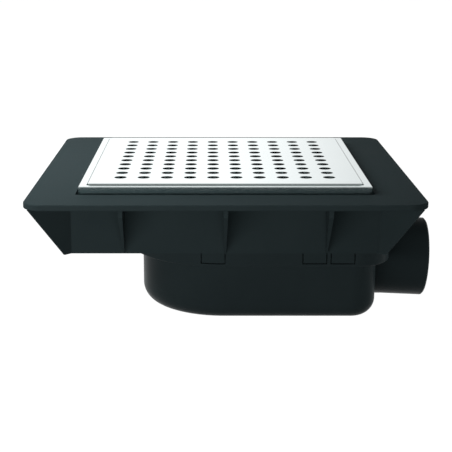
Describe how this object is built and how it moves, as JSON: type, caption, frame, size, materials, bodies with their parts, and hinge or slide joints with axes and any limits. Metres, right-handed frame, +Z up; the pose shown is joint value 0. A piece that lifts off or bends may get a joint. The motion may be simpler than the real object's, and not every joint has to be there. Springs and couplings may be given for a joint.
{
  "type": "gully trap",
  "caption": "Square plastic floor gully with a perforated stainless steel grate, a removable water trap and a horizontal outlet spigot.",
  "frame": {"origin": "centre of the grate's top face, which is the finished floor level", "axes": "+Z up out of the floor; +X the way the water leaves through the outlet spigot; -Y the front, with the three fins seen in the picture"},
  "size_m": [0.2159, 0.2, 0.0814],
  "materials": {
    "steel": "fine satin",
    "screw_steel": "plain",
    "black_plastic": "fine moulded satin",
    "grey_plastic": "moulded satin",
    "rubber": "matt"
  },
  "bodies": {
    "root": {"grate": "steel", "grate_frame": "steel", "upper_body": "black_plastic", "trap_pot": "black_plastic", "body_gasket": "rubber", "trap_funnel": "grey_plastic", "funnel_seal": "rubber", "trap_cup": "grey_plastic", "grate_pad_front": "rubber", "grate_pad_right": "rubber", "grate_pad_back": "rubber", "grate_pad_left": "rubber", "frame_screw_front_left": "screw_steel", "frame_screw_front_right": "screw_steel", "frame_screw_back_left": "screw_steel", "frame_screw_back_right": "screw_steel"}
  },
  "joints": []
}
